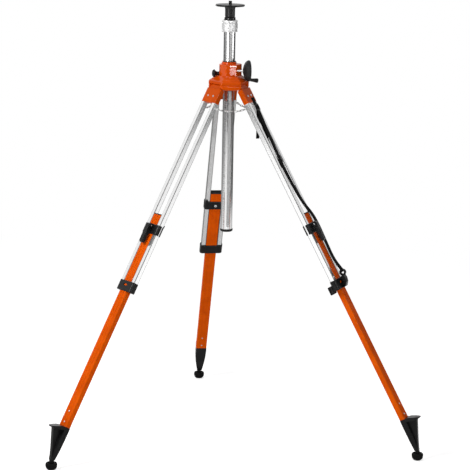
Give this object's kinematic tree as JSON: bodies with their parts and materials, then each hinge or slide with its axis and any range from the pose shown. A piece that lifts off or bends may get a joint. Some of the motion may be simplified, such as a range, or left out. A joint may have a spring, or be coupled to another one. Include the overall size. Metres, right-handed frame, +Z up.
{
  "type": "elevating laser level tripod",
  "caption": "Elevating tripod with a geared centre column, crank handwheel, round head plate with instrument stud, twin-tube legs with quick clamps, rubber feet, spreader chain and strap.",
  "frame": {"origin": "point on the floor under the centre column", "axes": "+Z up along the column, +Y towards the back leg, +X towards the crank"},
  "size_m": [1.6106, 1.4015, 1.9165],
  "materials": {
    "black_plastic": "semi_gloss",
    "black_rubber": "matte",
    "black_webbing": "matte",
    "orange_paint": "gloss",
    "bright_aluminium": "satin",
    "dark_metal": "satin",
    "zinc_steel": "satin",
    "bronze": "satin"
  },
  "bodies": {
    "chassis": {"gear_housing": "orange_paint", "pinion_cover": "orange_paint", "bearing_bushes": "black_plastic", "hinge_bolts": "zinc_steel", "brake_shoe": "bronze"},
    "column": {"column_tube": "bright_aluminium", "column_rack": "zinc_steel", "column_cap": "black_plastic", "column_top_ring": "dark_metal"},
    "head": {"head_plate": "black_plastic", "instrument_screw": "zinc_steel", "head_sleeve": "black_plastic", "inner_column": "bright_aluminium"},
    "collar": {"clamp_collar": "bright_aluminium"},
    "crank": {"crank_shaft": "zinc_steel", "drive_pinion": "zinc_steel", "handwheel": "black_plastic", "grip_bolt": "zinc_steel"},
    "grip": {"crank_grip": "black_plastic"},
    "knob": {"clamp_knob": "black_plastic"},
    "leg_back": {"shoulder_back": "orange_paint", "leg_tubes_back": "bright_aluminium", "clamp_outer_back": "black_plastic", "clamp_inner_back": "black_plastic", "leg_guide_back": "black_plastic", "leg_bolts_back": "zinc_steel"},
    "shank_back": {"inner_leg_back": "orange_paint", "leg_plug_back": "black_plastic", "foot_back": "black_plastic", "boot_back": "black_rubber"},
    "lever_back": {"clamp_lever_back": "black_plastic"},
    "chain_back": {"chain_back": "zinc_steel"},
    "leg_left": {"shoulder_left": "orange_paint", "leg_tubes_left": "bright_aluminium", "clamp_outer_left": "black_plastic", "clamp_inner_left": "black_plastic", "leg_guide_left": "black_plastic", "leg_bolts_left": "zinc_steel"},
    "shank_left": {"inner_leg_left": "orange_paint", "leg_plug_left": "black_plastic", "foot_left": "black_plastic", "boot_left": "black_rubber"},
    "lever_left": {"clamp_lever_left": "black_plastic"},
    "chain_left": {"chain_left": "zinc_steel"},
    "leg_right": {"shoulder_right": "orange_paint", "leg_tubes_right": "bright_aluminium", "clamp_outer_right": "black_plastic", "clamp_inner_right": "black_plastic", "leg_guide_right": "black_plastic", "leg_bolts_right": "zinc_steel", "carry_strap": "black_webbing", "strap_buckle": "black_plastic", "strap_ring": "black_plastic", "strap_keeper": "black_plastic"},
    "shank_right": {"inner_leg_right": "orange_paint", "leg_plug_right": "black_plastic", "foot_right": "black_plastic", "boot_right": "black_rubber"},
    "lever_right": {"clamp_lever_right": "black_plastic"},
    "chain_right": {"chain_right": "zinc_steel"}
  },
  "joints": [
    {"name": "column_slide", "type": "slide", "parent": "chassis", "child": "column", "axis": [0, 0, 1], "range_m": [-0.118, 0.585]},
    {"name": "head_slide", "type": "slide", "parent": "column", "child": "head", "axis": [0, 0, 1], "range_m": [0, 0.42]},
    {"name": "collar_twist", "type": "hinge", "parent": "column", "child": "collar", "pos_m": [0, 0, 1.81], "axis": [0, 0, 1], "range_deg": [-60, 0]},
    {"name": "crank_turn", "type": "hinge", "parent": "chassis", "child": "crank", "pos_m": [0, -0.0346, 1.621], "axis": [1, 0, 0], "range_deg": [-600, 2800]},
    {"name": "grip_spin", "type": "hinge", "parent": "crank", "child": "grip", "pos_m": [0.084, -0.0346, 1.583], "axis": [0.9945, 0, -0.1045], "continuous": true},
    {"name": "knob_turn", "type": "hinge", "parent": "chassis", "child": "knob", "pos_m": [-0.05, 0, 1.607], "axis": [-1, 0, 0], "range_deg": [0, 180]},
    {"name": "leg_fold_back", "type": "hinge", "parent": "chassis", "child": "leg_back", "pos_m": [0, 0.06, 1.5564], "axis": [-1, 0, 0], "range_deg": [0, 26]},
    {"name": "leg_extend_back", "type": "slide", "parent": "leg_back", "child": "shank_back", "axis": [0, 0.4897, -0.8719], "range_m": [-0.2, 0.04]},
    {"name": "lever_open_back", "type": "hinge", "parent": "leg_back", "child": "lever_back", "pos_m": [0, 0.41065, 0.98719], "axis": [1, 0, 0], "range_deg": [0, 100]},
    {"name": "chain_swing_back", "type": "hinge", "parent": "leg_back", "child": "chain_back", "pos_m": [0, 0.10199, 1.46529], "axis": [-1, 0, 0], "range_deg": [-95, 0], "deforming": ["chain_back"]},
    {"name": "leg_fold_left", "type": "hinge", "parent": "chassis", "child": "leg_left", "pos_m": [-0.05196, -0.03, 1.5564], "axis": [0.5, -0.866, 0], "range_deg": [0, 26]},
    {"name": "leg_extend_left", "type": "slide", "parent": "leg_left", "child": "shank_left", "axis": [-0.4241, -0.2448, -0.8719], "range_m": [-0.2, 0.04]},
    {"name": "lever_open_left", "type": "hinge", "parent": "leg_left", "child": "lever_left", "pos_m": [-0.35563, -0.20533, 0.98719], "axis": [-0.5, 0.866, 0], "range_deg": [0, 100]},
    {"name": "chain_swing_left", "type": "hinge", "parent": "leg_left", "child": "chain_left", "pos_m": [-0.08833, -0.051, 1.46529], "axis": [0.5, -0.866, 0], "range_deg": [-95, 0], "deforming": ["chain_left"]},
    {"name": "leg_fold_right", "type": "hinge", "parent": "chassis", "child": "leg_right", "pos_m": [0.05196, -0.03, 1.5564], "axis": [0.5, 0.866, 0], "range_deg": [0, 26]},
    {"name": "leg_extend_right", "type": "slide", "parent": "leg_right", "child": "shank_right", "axis": [0.4241, -0.2448, -0.8719], "range_m": [-0.2, 0.04]},
    {"name": "lever_open_right", "type": "hinge", "parent": "leg_right", "child": "lever_right", "pos_m": [0.35563, -0.20533, 0.98719], "axis": [-0.5, -0.866, 0], "range_deg": [0, 100]},
    {"name": "chain_swing_right", "type": "hinge", "parent": "leg_right", "child": "chain_right", "pos_m": [0.08833, -0.051, 1.46529], "axis": [0.5, 0.866, 0], "range_deg": [-95, 0], "deforming": ["chain_right"]}
  ],
  "couplings": [
    {"joint": "crank_turn", "follows": "column_slide", "rad_per_m": 83.333},
    {"joint": "chain_swing_back", "follows": "leg_fold_back", "ratio": -3.585},
    {"joint": "chain_swing_left", "follows": "leg_fold_back", "ratio": -3.585},
    {"joint": "leg_fold_left", "follows": "leg_fold_back", "ratio": 1},
    {"joint": "chain_swing_right", "follows": "leg_fold_back", "ratio": -3.585},
    {"joint": "leg_fold_right", "follows": "leg_fold_back", "ratio": 1}
  ]
}
